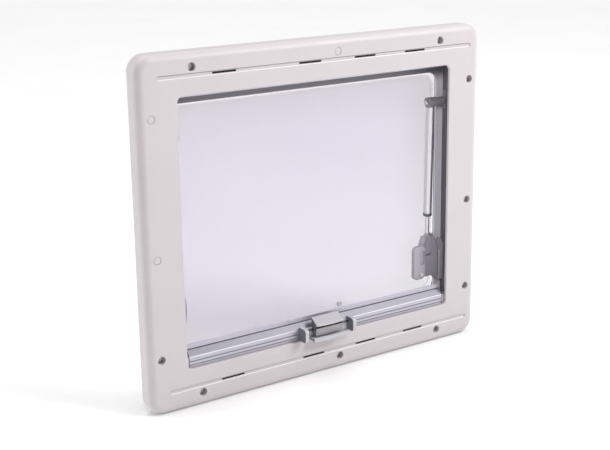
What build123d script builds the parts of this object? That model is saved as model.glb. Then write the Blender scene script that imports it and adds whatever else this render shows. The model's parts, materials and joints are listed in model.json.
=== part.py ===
"""Top-hung caravan window with stays, a turn latch and a double blind.

X runs to the right seen from the room, Y runs outward through the wall and
Z runs up. The origin is the centre of the wall cut-out, in the plane of the
wall's inner skin, so the inner frame lies at Y < 0 and the sash at Y > 0.
"""
import os
from math import atan2, cos, degrees, hypot, radians, sin

from build123d import *

# Wall and daylight opening (mm)
WALL_T = 27.0
APERTURE_W = 468.0
APERTURE_H = 394.0
APERTURE_R = 8.0
APERTURE_EDGE_R = 1.4

# Inner frame, a hollow moulding screwed on from the room side
FRAME_BAND = 60.0
FRAME_D = 28.0
FRAME_WALL = 2.5
FRAME_CORNER_R = 24.0
FRAME_EDGE_R = 12.0
LIP_T = 2.0
LIP_D = 1.5
GROOVE_INSET = 32.0
GROOVE_W = 5.0
GROOVE_DEPTH = 1.2
GROOVE_END_LEFT = 29.0
GROOVE_END_RIGHT = 19.0
VENT_XS = (-161.0, -21.0, 75.0, 167.0)
VENT_L = 38.0
VENT_H = 3.0

# Frame screws, counted from the frame's edges and centre lines
SCREW_ROW_INSET = 20.5
SCREW_COL_INSET = 20.0
SCREW_ROW_LEFT = 83.0
SCREW_ROW_MID = 26.0
SCREW_ROW_RIGHT = 79.0
SCREW_COL_TOP = 86.0
SCREW_COL_MID = -26.0
SCREW_COL_BOTTOM = 84.0
SCREW_R = 1.75
SCREW_HEAD_R = 4.4
SCREW_HEAD_H = 3.0
SCREW_HEAD_BEVEL = 1.0
SCREW_HOLE_R = 2.0
SCREW_BITE = 2.0
RECESS_R = 6.0
RECESS_DEPTH = 9.0
BOSS_WALL = 1.5
CAP_FIT = 0.05
CAP_FACE_GAP = 0.2
CAP_T = 1.6
CAP_STEM_R = 2.6

# Outer frame: sleeve through the wall, flange outside and sealing web
CUTOUT_MARGIN = 31.0
SLEEVE_GAP = 1.5
SLEEVE_WALL = 2.0
SLEEVE_R = 20.0
SLEEVE_START = 1.0
FLANGE_LAP = 16.5
FLANGE_T = 3.0
FLANGE_R = 34.0
FLANGE_EDGE_R = 2.0
WEB_Y = 22.0
WEB_T = 3.0
WEB_SIDE_SETBACK = 14.0
WEB_TOP_STEP = 19.0
WEB_BOTTOM_STEP = 6.0
WEB_R = 16.0
SEAL_INSET = 2.5
SEAL_W = 5.0
SEAL_GAP = 0.3
SEAL_EDGE_R = 2.0

# Sash: flat outer pane with a thermoformed inner pane bonded to it
PANE_LAP_SIDE = 14.0
PANE_LAP_TOP = 12.0
PANE_LAP_BOTTOM = 14.0
PANE_T = 3.0
PANE_R = 26.0
PANE_EDGE_R = 1.0
TRAY_GAP = 4.0
TRAY_DEPTH = 9.0
TRAY_T = 2.5
TRAY_SLOPE = 3.0
TRAY_R = 13.0
PLUG_X = 58.0
PLUG_RISE = 10.0
PLUG_R = 3.0
PLUG_HEAD_R = 4.6
PLUG_HEAD_H = 1.4
PLUG_BEVEL = 0.8

# Hinge: round bead on the sash turning in a socket on the frame
HINGE_RISE = 7.0
HINGE_SETBACK = 1.0
BEAD_R = 2.4
BEAD_CLEARANCE = 0.05
SOCKET_WALL = 2.0
SOCKET_FROM = 240.0
SOCKET_TO = 345.0
NECK_T = 2.0
NECK_GAP = 0.4
HINGE_PLATE_T = 2.0
HINGE_PLATE_H = 11.0
HINGE_END_INSET = 20.0
RAIL_T = 2.5
RAIL_H = 17.0
PROFILE_R = 0.5

# Telescopic stays
STAY_INSET = 21.5
STAY_TOP_Y = 8.6
STAY_TOP_DROP = 63.6
STAY_FOOT_Y = 14.6
STAY_FOOT_DROP = 315.0
TUBE_R = 6.8
TUBE_BORE_R = 6.0
EYE_R = 7.6
EYE_STEP = 0.4
TUBE_START = 8.0
TUBE_END = 184.0
PLUG_IN_TUBE = 12.0
COLLAR_R = 7.2
COLLAR_L = 5.0
COLLAR_BEVEL = 1.0
ROD_R = 2.3
ROD_LOWER_R = 3.4
ROD_START = 60.0
ROD_GAP = 2.0
FOOT_START = 218.0
FOOT_NECK_R = 3.9
FOOT_EYE_R = 4.6
FOOT_BLADE_T = 8.0
FOOT_BLADE_R = 3.0
FOOT_BLADE_RISE = 29.0
FOOT_W = 12.0
PIN_R = 2.5
FOOT_PIN_R = 2.0
FOOT_PIN_INSET = 0.5
PIN_FIT = 0.05
PIN_HEAD_R = 4.0
PIN_HEAD_H = 2.2
PIN_HEAD_BEVEL = 0.8
SIDE_GAP = 0.7
ARM_R = 6.6
BRACKET_PLATE_T = 2.5
BRACKET_PLATE_H = 30.0
BRACKET_PLATE_W = 17.0
BRACKET_PLATE_R = 4.0

# Turn latch on the sash, the housings of the stay feet and the latch's keeper
LATCH_X_INSET = 41.0
LATCH_DROP = 347.0
LEVER_Y = 2.4
LEVER_T = 6.8
LEVER_W = 24.0
LEVER_L = 56.0
LEVER_R = 8.0
LEVER_OFFSET = 3.0
LEVER_BELOW = 8.0
LEVER_BEVEL = 1.2
DISH_W = 10.0
DISH_L = 24.0
DISH_R = 4.5
DISH_SHIFT = 5.0
DISH_RISE = 8.0
DISH_DEPTH = 3.2
LATCH_FIT = 0.6
LATCH_POST_R = 4.5
LATCH_PAD_T = 3.5
LATCH_PAD_ABOVE = 20.0
LATCH_SCREW_R = 2.0
LATCH_HEAD_R = 3.4
LATCH_HEAD_H = 1.6
LATCH_HEAD_BEVEL = 0.7
HOUSING_GAP = 1.0
HOUSING_SIDE_GAP = 1.0
HOUSING_ABOVE = 31.0
HOUSING_BELOW = 41.0
HOUSING_BULGE = 9.0
HOUSING_NECK = 5.0
HOUSING_EAR = 3.8
HOUSING_SLOPE = 24.0
HOUSING_DROP = 8.0
HOUSING_R = 1.6
HOUSING_BEVEL = 1.5
KEEPER_GAP = 0.6
KEEPER_INSET = 1.0
KEEPER_ABOVE = 50.0
KEEPER_BELOW = 20.0
KEEPER_RAMP = 20.0
KEEPER_R = 4.0

# Blind guides and bars
GUIDE_SETBACK = 10.0
GUIDE_W = 14.0
GUIDE_STEP = 6.0
GUIDE_STEP_Y = -11.4
GUIDE_REAR_W = 9.0
GUIDE_BACK_Y = 1.5
GUIDE_END_GAP = 10.0
GUIDE_FLOOR = 2.0
GUIDE_EDGE_R = 0.8
TRACK_FIT = 0.4
TRACK_R = 0.5
BAR_FRONT_GAP = 2.5
BAR_D = 11.0
BAR_END_INSET = 5.0
BAR_TOP_RISE = 32.0
BAR_H = 47.0
BAR_FACE_H = 31.3
BAR_FIN_T = 2.5
BAR_FIN_H = 7.0
BAR_WALL = 1.8
BAR_GROOVE_H = 1.4
BAR_GROOVE_D = 1.0
BAR_GROOVES = (6.9, 12.1)
END_NOTCH = 1.2
END_DROP = 1.0
END_SPIGOT = 12.0
END_FIT = 0.2
SLIDER_GAP = 1.5
SLIDER_REACH = 11.0
SLIDER_INSET = 2.0
SLIDER_END_INSET = 4.0
SCREEN_BAR_Y = -9.0
SCREEN_BAR_D = 7.0
SCREEN_BAR_H = 14.0
SCREEN_BAR_PARK = 5.0
SCREEN_BAR_R = 1.5
SCREEN_REACH = 7.5
SCREEN_INSET = 1.0

# Spring rollers with their wound cloth
ROLLER_R = 6.0
JOURNAL_R = 2.5
JOURNAL_FIT = 0.05
ROLLER_END_GAP = 1.0
ROLL_END_INSET = 13.0
BLACKOUT_ROLL_R = 10.0
BLACKOUT_ROLL_Z = 12.0
SCREEN_ROLL_R = 9.0
SCREEN_ROLL_Z = 12.0
ROLL_GAP = 1.0
BRACKET_T = 4.0
BRACKET_ROUND = 4.0
CLOTH_T = 0.3
CLOTH_TUCK = 3.0

# Catch at the middle of the blackout bar
CATCH_HALF = 46.0
CHEEK_T = 6.0
CHEEK_REACH = 21.0
CHEEK_RISE = 21.0
CHEEK_R = 5.0
CHEEK_ROOT = 7.5
CATCH_SILL_GAP = 0.7
CATCH_PLATE_T = 2.3
CATCH_FLOOR_T = 2.5
CATCH_LIP_HALF = 30.0
CATCH_LIP_DROP = 1.5
CATCH_LIP_RISE = 4.8
CATCH_LIP_T = 3.0
CATCH_BOW = 2.5
CATCH_PIN_R = 1.5
CATCH_PIN_BACK = 7.0
CATCH_PIN_RISE = 14.3
HANDLE_HALF = 24.0
HANDLE_WALL = 2.4
HANDLE_BACK_GAP = 2.0
HANDLE_FLOOR_GAP = 3.3
FLAP_RISE = 18.0
FLAP_FALL = 9.5
FLAP_EDGE = 1.8
FLAP_REACH = 12.0
FLAP_ROOT = 3.0
FACE_SETBACK = 2.5
FACE_DRAFT = 1.2
FACE_GROOVE = 3.4
HANDLE_HEEL = 4.0

# Depth planes
FRONT_Y = -FRAME_D
FRONT_BACK_Y = FRONT_Y + FRAME_WALL
SCREW_SEAT_Y = FRONT_Y + RECESS_DEPTH
FLANGE_Y = WALL_T
PANE_Y = FLANGE_Y + FLANGE_T
PANE_OUT_Y = PANE_Y + PANE_T
TRAY_Y = PANE_Y - TRAY_DEPTH
WEB_OUT_Y = WEB_Y + WEB_T

# Outlines in X and Z
FRAME_W = APERTURE_W + 2 * FRAME_BAND
FRAME_H = APERTURE_H + 2 * FRAME_BAND
SLEEVE_W = APERTURE_W + 2 * (CUTOUT_MARGIN - SLEEVE_GAP)
SLEEVE_H = APERTURE_H + 2 * (CUTOUT_MARGIN - SLEEVE_GAP)
SLEEVE_IN_X = SLEEVE_W / 2 - SLEEVE_WALL
SLEEVE_IN_Z = SLEEVE_H / 2 - SLEEVE_WALL
FLANGE_W = APERTURE_W + 2 * (CUTOUT_MARGIN + FLANGE_LAP)
FLANGE_H = APERTURE_H + 2 * (CUTOUT_MARGIN + FLANGE_LAP)
WEB_X = APERTURE_W / 2 + WEB_SIDE_SETBACK
WEB_TOP = APERTURE_H / 2 - WEB_TOP_STEP
WEB_BOTTOM = -APERTURE_H / 2 + WEB_BOTTOM_STEP
PANE_TOP = WEB_TOP + PANE_LAP_TOP
HINGE_Y = PANE_Y + HINGE_SETBACK
HINGE_Z = PANE_TOP + HINGE_RISE

# Stay line, from the upper pivot to the foot pivot
STAY_X = WEB_X - STAY_INSET
STAY_TOP_Z = HINGE_Z - STAY_TOP_DROP
STAY_FOOT_Z = HINGE_Z - STAY_FOOT_DROP
STAY_L = hypot(STAY_FOOT_Y - STAY_TOP_Y, STAY_TOP_Z - STAY_FOOT_Z)
STAY_TILT = degrees(atan2(STAY_FOOT_Y - STAY_TOP_Y, STAY_TOP_Z - STAY_FOOT_Z))

# Latch and housing places
LATCH_X = WEB_X - LATCH_X_INSET
LATCH_Z = HINGE_Z - LATCH_DROP
LEVER_BACK_Y = LEVER_Y + LEVER_T
HOUSING_Y = LEVER_BACK_Y + HOUSING_GAP
SLOT_X0 = STAY_X - FOOT_W / 2 - SIDE_GAP
SLOT_X1 = STAY_X + FOOT_W / 2 + SIDE_GAP
SLOT_Z = STAY_FOOT_Z - FOOT_EYE_R - SIDE_GAP
HOUSING_X0 = STAY_X - HOUSING_NECK
HOUSING_X1 = WEB_X - HOUSING_SIDE_GAP
HOUSING_TOP = STAY_FOOT_Z + HOUSING_ABOVE
HOUSING_BOTTOM = STAY_FOOT_Z - HOUSING_BELOW

# Blind places
GUIDE_X = APERTURE_W / 2 + GUIDE_SETBACK
REAR_GUIDE_X = GUIDE_X + GUIDE_STEP
GUIDE_Z = SLEEVE_IN_Z - GUIDE_END_GAP
BAR_Y = FRONT_BACK_Y + BAR_FRONT_GAP
BAR_BACK_Y = BAR_Y + BAR_D
BAR_FIN_Y = BAR_BACK_Y - BAR_FIN_T
BAR_TOP = -APERTURE_H / 2 + BAR_TOP_RISE
BAR_BOTTOM = BAR_TOP - BAR_H
BAR_CREST = BAR_TOP - BAR_FIN_H
BAR_SHOULDER = BAR_BOTTOM + BAR_FACE_H
BAR_HALF = APERTURE_W / 2 - BAR_END_INSET
SLIDER_X = GUIDE_X - SLIDER_GAP
SCREEN_SLIDER_X = REAR_GUIDE_X - SLIDER_GAP
SCREEN_BAR_Z = APERTURE_H / 2 - SCREEN_BAR_PARK
SCREEN_BAR_TOP = SCREEN_BAR_Z + SCREEN_BAR_H
SCREEN_BAR_BACK_Y = SCREEN_BAR_Y + SCREEN_BAR_D
BLACKOUT_AXIS_Y = BAR_BACK_Y + ROLL_GAP + BLACKOUT_ROLL_R
BLACKOUT_AXIS_Z = -APERTURE_H / 2 - BLACKOUT_ROLL_Z
SCREEN_AXIS_Y = SCREEN_BAR_BACK_Y + ROLL_GAP + SCREEN_ROLL_R
SCREEN_AXIS_Z = APERTURE_H / 2 + SCREEN_ROLL_Z
ROLLER_HALF = REAR_GUIDE_X - BRACKET_T - ROLLER_END_GAP
ROLL_HALF = REAR_GUIDE_X - BRACKET_T - ROLL_END_INSET

# Catch places
CATCH_BOTTOM = -APERTURE_H / 2 + CATCH_SILL_GAP
CATCH_FLOOR = CATCH_BOTTOM + CATCH_FLOOR_T
CATCH_FRONT_Y = BAR_Y - CHEEK_REACH
CATCH_PIN_Y = BAR_Y - CATCH_PIN_BACK
CATCH_PIN_Z = CATCH_BOTTOM + CATCH_PIN_RISE


def slab(sketch, y0, y1):
    """Extrude a sketch drawn in X and Z from depth y0 to depth y1."""
    return extrude(Plane.XZ.offset(-y1) * sketch, y1 - y0)


def bar_x(sketch, x0, x1):
    """Extrude a profile drawn in Y and Z along X."""
    return extrude(Plane.YZ.offset(x0) * sketch, x1 - x0)


def post_z(sketch, z0, z1):
    """Extrude a plan drawn in X and Y along Z."""
    return extrude(Plane.XY.offset(z0) * sketch, z1 - z0)


def outline(points):
    """Closed face through a short list of corner points."""
    return make_face(Polyline(*points, close=True))


def block(x0, x1, y0, y1, z0, z1):
    """Box between two corners."""
    return Pos((x0 + x1) / 2, (y0 + y1) / 2, (z0 + z1) / 2) * Box(x1 - x0, y1 - y0, z1 - z0)


def span_rect(x0, x1, z0, z1, radius):
    """Rounded rectangle between two corners of a sketch."""
    return Pos((x0 + x1) / 2, (z0 + z1) / 2) * RectangleRounded(x1 - x0, z1 - z0, radius)


def front_edges(shape):
    """Edges of the face nearest the room."""
    return shape.faces().sort_by(Axis.Y)[0].outer_wire().edges()


def back_edges(shape):
    """Edges of the outermost face."""
    return shape.faces().sort_by(Axis.Y)[-1].outer_wire().edges()


def screw_places():
    """Twelve frame screws as X, Z pairs, three along each side."""
    row = FRAME_H / 2 - SCREW_ROW_INSET
    col = FRAME_W / 2 - SCREW_COL_INSET
    xs = (-FRAME_W / 2 + SCREW_ROW_LEFT, SCREW_ROW_MID, FRAME_W / 2 - SCREW_ROW_RIGHT)
    zs = (FRAME_H / 2 - SCREW_COL_TOP, SCREW_COL_MID, -FRAME_H / 2 + SCREW_COL_BOTTOM)
    rows = [(x, side * row) for side in (1, -1) for x in xs]
    cols = [(side * col, z) for side in (-1, 1) for z in zs]
    return rows + cols


def capped_places():
    """Recesses that carry a cover cap: top middle and the left column's upper two."""
    places = screw_places()
    return [places[1], places[6], places[7]]


def frame_shell():
    """Rounded hollow ring of the inner frame with a lip round the aperture."""
    shell = slab(RectangleRounded(FRAME_W, FRAME_H, FRAME_CORNER_R), FRONT_Y, 0)
    shell = fillet(front_edges(shell), FRAME_EDGE_R)
    inner_w = FRAME_W - 2 * FRAME_WALL
    inner_h = FRAME_H - 2 * FRAME_WALL
    cavity = slab(RectangleRounded(inner_w, inner_h, FRAME_CORNER_R - FRAME_WALL), FRONT_BACK_Y, 0)
    cavity = fillet(front_edges(cavity), FRAME_EDGE_R - FRAME_WALL)
    shell = shell - cavity
    lip = RectangleRounded(APERTURE_W + 2 * LIP_T, APERTURE_H + 2 * LIP_T, APERTURE_R + LIP_T)
    shell = shell + slab(lip, FRONT_BACK_Y - FRAME_WALL / 2, FRONT_BACK_Y + LIP_D)
    shell = shell - slab(RectangleRounded(APERTURE_W, APERTURE_H, APERTURE_R), FRONT_Y - 1, 0)
    face = shell.faces().sort_by(Axis.Y)[0]
    return fillet(face.inner_wires()[0].edges(), APERTURE_EDGE_R)


def make_inner_frame():
    """Hollow room-side moulding with rounded front, screw bosses and vent slots."""
    frame = frame_shell()
    for x, z in screw_places():
        boss = Pos(x, z) * Circle(RECESS_R + BOSS_WALL)
        frame = frame + slab(boss, FRONT_BACK_Y - FRAME_WALL / 2, 0)
    for x, z in screw_places():
        frame = frame - slab(Pos(x, z) * Circle(RECESS_R), FRONT_Y - 1, SCREW_SEAT_Y)
        frame = frame - slab(Pos(x, z) * Circle(SCREW_HOLE_R), SCREW_SEAT_Y - 1, 1)
    groove_x0 = -FRAME_W / 2 + GROOVE_END_LEFT
    groove_x1 = FRAME_W / 2 - GROOVE_END_RIGHT
    groove_z = FRAME_H / 2 - GROOVE_INSET
    groove = SlotOverall(groove_x1 - groove_x0, GROOVE_W)
    for side in (1, -1):
        run = Pos((groove_x0 + groove_x1) / 2, side * groove_z) * groove
        frame = frame - slab(run, FRONT_Y - 1, FRONT_Y + GROOVE_DEPTH)
        for x in VENT_XS:
            vent = Pos(x, side * groove_z) * RectangleRounded(VENT_L, VENT_H, VENT_H * 0.45)
            frame = frame - slab(vent, FRONT_Y - 1, FRONT_BACK_Y + 1)
    return frame


def make_frame_screws():
    """Pan-head screws through the bosses and the wall into the outer flange."""
    head = slab(Circle(SCREW_HEAD_R), SCREW_SEAT_Y - SCREW_HEAD_H, SCREW_SEAT_Y)
    head = chamfer(front_edges(head), SCREW_HEAD_BEVEL)
    screw = head + slab(Circle(SCREW_R), SCREW_SEAT_Y, FLANGE_Y + SCREW_BITE)
    return Compound([Pos(x, 0, z) * screw for x, z in screw_places()])


def make_screw_caps():
    """Push-in covers that close three of the screw recesses."""
    face_y = FRONT_Y + CAP_FACE_GAP
    disc = slab(Circle(RECESS_R - CAP_FIT), face_y, face_y + CAP_T)
    stem = slab(Circle(CAP_STEM_R), face_y + CAP_T / 2, SCREW_SEAT_Y - SCREW_HEAD_H)
    cap = disc + stem
    return Compound([Pos(x, 0, z) * cap for x, z in capped_places()])


def web_opening(grow=0.0):
    """Outline of the opening in the sealing web, grown by a margin."""
    return span_rect(-WEB_X - grow, WEB_X + grow, WEB_BOTTOM - grow, WEB_TOP + grow, WEB_R + grow)


def make_outer_frame():
    """Sleeve, weather flange and sealing web in one moulding."""
    frame = slab(RectangleRounded(SLEEVE_W, SLEEVE_H, SLEEVE_R), SLEEVE_START, PANE_Y)
    flange = slab(RectangleRounded(FLANGE_W, FLANGE_H, FLANGE_R), FLANGE_Y, PANE_Y)
    frame = frame + fillet(back_edges(flange), FLANGE_EDGE_R)
    bore_r = SLEEVE_R - SLEEVE_WALL
    bore = RectangleRounded(SLEEVE_W - 2 * SLEEVE_WALL, SLEEVE_H - 2 * SLEEVE_WALL, bore_r)
    frame = frame - slab(bore, 0, PANE_OUT_Y)
    frame = frame + (slab(bore, WEB_Y, WEB_OUT_Y) - slab(web_opening(), WEB_Y - 1, WEB_OUT_Y + 1))
    for x, z in screw_places():
        hole = Pos(x, z) * Circle(SCREW_R + PIN_FIT)
        frame = frame - slab(hole, FLANGE_Y - 1, FLANGE_Y + SCREW_BITE)
    return frame


def make_sash_seal():
    """Rubber ring on the web that the closed pane presses on."""
    ring = slab(web_opening(SEAL_INSET + SEAL_W), WEB_OUT_Y, PANE_Y - SEAL_GAP)
    ring = fillet(back_edges(ring), SEAL_EDGE_R)
    return ring - slab(web_opening(SEAL_INSET), WEB_OUT_Y - 1, PANE_Y)


def sector(radius, start, end):
    """Pie slice about the hinge centre, with 0 degrees along +Y and 90 along +Z."""
    points = [(0, 0)]
    steps = 6
    for i in range(steps + 1):
        angle = radians(start + (end - start) * i / steps)
        points.append((radius * cos(angle), radius * sin(angle)))
    return outline(points)


def make_hinge_rail():
    """Extruded rail on the web whose open socket holds the sash's bead."""
    socket_r = BEAD_R + BEAD_CLEARANCE
    outer_r = socket_r + SOCKET_WALL
    at_hinge = Pos(HINGE_Y, HINGE_Z)
    plate_z = HINGE_Z + outer_r * 0.35
    profile = at_hinge * Circle(outer_r)
    profile = profile - at_hinge * sector(3 * outer_r, SOCKET_FROM, SOCKET_TO)
    profile = profile + span_rect(WEB_OUT_Y, WEB_OUT_Y + RAIL_T, plate_z, plate_z + RAIL_H, PROFILE_R)
    profile = profile + span_rect(WEB_OUT_Y, HINGE_Y, plate_z, HINGE_Z + outer_r, PROFILE_R)
    profile = profile - at_hinge * Circle(socket_r)
    half = WEB_X - HINGE_END_INSET
    return bar_x(profile, -half, half)


def make_sash_hinge_profile():
    """Bead, neck and hook strip along the top edge of the outer pane."""
    hook_top = PANE_TOP + HINGE_PLATE_T
    out_y = PANE_OUT_Y + HINGE_PLATE_T
    neck_y0 = HINGE_Y - NECK_T / 2
    profile = Pos(HINGE_Y, HINGE_Z) * Circle(BEAD_R)
    profile = profile + span_rect(neck_y0, neck_y0 + NECK_T, PANE_TOP + NECK_GAP, HINGE_Z, PROFILE_R)
    profile = profile + span_rect(PANE_Y, out_y, PANE_TOP, hook_top, PROFILE_R)
    profile = profile + span_rect(PANE_OUT_Y, out_y, PANE_TOP - HINGE_PLATE_H, hook_top, PROFILE_R)
    half = WEB_X - HINGE_END_INSET
    return bar_x(profile, -half, half)


def make_outer_pane():
    """Flat acrylic pane that laps over the web all round."""
    x = WEB_X + PANE_LAP_SIDE
    sheet = span_rect(-x, x, WEB_BOTTOM - PANE_LAP_BOTTOM, PANE_TOP, PANE_R)
    pane = slab(sheet, PANE_Y, PANE_OUT_Y)
    return fillet(back_edges(pane), PANE_EDGE_R)


def tray_form(inset, y0, y1):
    """Tapered block of the inner pane's form between two depths."""
    gap = TRAY_GAP + inset
    mouth = span_rect(-WEB_X + gap, WEB_X - gap, WEB_BOTTOM + gap, WEB_TOP - gap, TRAY_R)
    gap = gap + TRAY_SLOPE
    floor = span_rect(-WEB_X + gap, WEB_X - gap, WEB_BOTTOM + gap, WEB_TOP - gap, TRAY_R)
    return loft([Plane.XZ.offset(-y0) * floor, Plane.XZ.offset(-y1) * mouth])


def plug_place():
    """Place of the vent plug on the floor of the inner pane."""
    return Pos(PLUG_X, 0, WEB_BOTTOM + TRAY_GAP + TRAY_SLOPE + PLUG_RISE)


def make_inner_pane():
    """Thermoformed inner pane: a shallow tray with its rim bonded to the outer pane."""
    tray = tray_form(0, TRAY_Y, PANE_Y) - tray_form(TRAY_T, TRAY_Y + TRAY_T, PANE_Y)
    return tray - plug_place() * slab(Circle(PLUG_R + PIN_FIT), TRAY_Y - 1, TRAY_Y + TRAY_T + 1)


def make_vent_plug():
    """Push-in plug of the double pane's breather hole."""
    head = slab(Circle(PLUG_HEAD_R), TRAY_Y - PLUG_HEAD_H, TRAY_Y)
    head = chamfer(front_edges(head), PLUG_BEVEL)
    return plug_place() * (head + slab(Circle(PLUG_R), TRAY_Y, TRAY_Y + TRAY_T + 1))


def on_stay(shape):
    """Move a piece drawn downwards from the upper pivot onto the right-hand stay."""
    return Location((STAY_X, STAY_TOP_Y, STAY_TOP_Z), (STAY_TILT, 0, 0)) * shape


def down(radius, start, end):
    """Round bar along the stay between two distances from the upper pivot."""
    return Pos(0, 0, -end) * Cylinder(radius, end - start, align=(Align.CENTER, Align.CENTER, Align.MIN))


def make_stay_tube():
    """Outer tube of the telescopic stay."""
    return on_stay(down(TUBE_R, TUBE_START, TUBE_END) - down(TUBE_BORE_R, TUBE_START, TUBE_END))


def make_stay_tube_end():
    """Moulded eye that plugs the top of the tube and turns on the upper pin."""
    eye = bar_x(Circle(EYE_R), -TUBE_R, TUBE_R)
    end = eye + down(TUBE_R - EYE_STEP, 0, TUBE_START)
    end = end + down(TUBE_BORE_R, TUBE_START, TUBE_START + PLUG_IN_TUBE)
    return on_stay(end - bar_x(Circle(PIN_R + PIN_FIT), -2 * TUBE_R, 2 * TUBE_R))


def make_stay_collar():
    """Guide ring at the mouth of the tube."""
    ring = down(COLLAR_R, TUBE_END, TUBE_END + COLLAR_L)
    ring = chamfer(ring.edges().sort_by(Axis.Z)[0], COLLAR_BEVEL)
    return on_stay(ring - down(TUBE_BORE_R, TUBE_END, TUBE_END + COLLAR_L))


def make_stay_rod():
    """Inner rod: slim inside the tube and thicker below its mouth."""
    mouth = TUBE_END + COLLAR_L + ROD_GAP
    return on_stay(down(ROD_R, ROD_START, mouth) + down(ROD_LOWER_R, mouth, FOOT_START))


def make_stay_foot():
    """Flat foot that fills the housing's slot; its eye turns on the pin there."""
    length = STAY_L - FOOT_START
    neck = Cone(FOOT_BLADE_T / 2, FOOT_NECK_R, length, align=(Align.CENTER, Align.CENTER, Align.MIN))
    blade = span_rect(-FOOT_W / 2, FOOT_W / 2, 0, FOOT_BLADE_RISE, FOOT_BLADE_R)
    blade = slab(blade, -FOOT_BLADE_T / 2, FOOT_BLADE_T / 2)
    eye = bar_x(Circle(FOOT_EYE_R), -FOOT_W / 2, FOOT_W / 2)
    bore = bar_x(Circle(FOOT_PIN_R + PIN_FIT), -FOOT_W, FOOT_W)
    return on_stay(Pos(0, 0, -STAY_L) * (neck + blade + eye - bore))


def make_stay_bracket():
    """Round arm from the sleeve's side wall that carries the upper pin."""
    at_top = Pos(STAY_TOP_Y, STAY_TOP_Z)
    arm_x = STAY_X + TUBE_R + SIDE_GAP
    plate_x = SLEEVE_IN_X - BRACKET_PLATE_T
    arm = bar_x(at_top * Circle(ARM_R), arm_x, plate_x + BRACKET_PLATE_T / 2)
    seat = Pos(STAY_TOP_Y - ARM_R + BRACKET_PLATE_W / 2, STAY_TOP_Z)
    foot = seat * RectangleRounded(BRACKET_PLATE_W, BRACKET_PLATE_H, BRACKET_PLATE_R)
    return arm + bar_x(foot, plate_x, SLEEVE_IN_X) - bar_x(at_top * Circle(PIN_R), arm_x - 1, plate_x)


def make_stay_pin():
    """Headed pin through the tube's eye into the bracket's arm."""
    at_top = Pos(STAY_TOP_Y, STAY_TOP_Z)
    head_x = STAY_X - TUBE_R - SIDE_GAP / 2
    head = bar_x(at_top * Circle(PIN_HEAD_R), head_x - PIN_HEAD_H, head_x)
    head = chamfer(head.edges().sort_by(Axis.X)[0], PIN_HEAD_BEVEL)
    return head + bar_x(at_top * Circle(PIN_R), head_x, SLEEVE_IN_X - BRACKET_PLATE_T)


def housing_outline():
    """Right-hand housing in X and Z: bowed towards the pane, sloping at the top of its outer side."""
    bowed_x = HOUSING_X0 - HOUSING_BULGE
    mid_z = (HOUSING_TOP + HOUSING_BOTTOM) / 2
    ear_x = SLOT_X1 + HOUSING_EAR
    bow = ThreePointArc((HOUSING_X0, HOUSING_TOP), (bowed_x, mid_z), (HOUSING_X0, HOUSING_BOTTOM))
    sides = Polyline(
        (HOUSING_X0, HOUSING_BOTTOM),
        (SLOT_X1, HOUSING_BOTTOM),
        (HOUSING_X1, HOUSING_BOTTOM - HOUSING_DROP),
        (HOUSING_X1, HOUSING_TOP - HOUSING_SLOPE),
        (ear_x, HOUSING_TOP),
        (HOUSING_X0, HOUSING_TOP),
    )
    face = make_face([bow, sides])
    return fillet(face.vertices(), HOUSING_R)


def make_foot_housing():
    """Housing on the inner pane with an open slot for the stay's foot and the bore of its pin."""
    body = slab(housing_outline(), HOUSING_Y, TRAY_Y)
    body = chamfer(front_edges(body), HOUSING_BEVEL)
    body = body - block(SLOT_X0, SLOT_X1, HOUSING_Y - 1, TRAY_Y + 1, SLOT_Z, HOUSING_TOP + 1)
    pin_bore = Pos(STAY_FOOT_Y, STAY_FOOT_Z) * Circle(FOOT_PIN_R + PIN_FIT)
    return body - bar_x(pin_bore, HOUSING_X0 - 2 * HOUSING_BULGE, HOUSING_X1 + 1)


def make_latch_housing():
    """The right-hand housing with the pad and post that carry the turn latch."""
    pad_z0 = LATCH_Z - LATCH_POST_R
    pad_z1 = LATCH_Z + LATCH_PAD_ABOVE
    pad_x1 = HOUSING_X0 - HOUSING_BULGE / 2
    pad = span_rect(LATCH_X - LATCH_POST_R, pad_x1, pad_z0, pad_z1, LATCH_POST_R * 0.8)
    body = make_foot_housing() + slab(pad, TRAY_Y - LATCH_PAD_T, TRAY_Y)
    pivot = Pos(LATCH_X, LATCH_Z)
    body = body + slab(pivot * Circle(LATCH_POST_R), LEVER_BACK_Y + LATCH_FIT, TRAY_Y)
    return body - slab(pivot * Circle(LATCH_SCREW_R + PIN_FIT), LEVER_BACK_Y, TRAY_Y)


def make_foot_pin():
    """Plain pin through the housing's cheeks and the stay's foot."""
    section = Pos(STAY_FOOT_Y, STAY_FOOT_Z) * Circle(FOOT_PIN_R)
    return bar_x(section, HOUSING_X0 - HOUSING_BULGE / 2, HOUSING_X1 - FOOT_PIN_INSET)


def make_lever():
    """Turn latch: dished grip above its pivot, swung outward over the keeper to lock."""
    pivot = Pos(LATCH_X, LATCH_Z)
    centre = pivot * Pos(-LEVER_OFFSET, LEVER_L / 2 - LEVER_BELOW)
    lever = slab(centre * RectangleRounded(LEVER_W, LEVER_L, LEVER_R), LEVER_Y, LEVER_BACK_Y)
    lever = chamfer(front_edges(lever), LEVER_BEVEL)
    dish = centre * Pos(DISH_SHIFT, DISH_RISE) * RectangleRounded(DISH_W, DISH_L, DISH_R)
    lever = lever - slab(dish, LEVER_Y - 1, LEVER_Y + DISH_DEPTH)
    return lever - slab(pivot * Circle(LATCH_SCREW_R + PIN_FIT), LEVER_Y - 1, LEVER_BACK_Y + 1)


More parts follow.
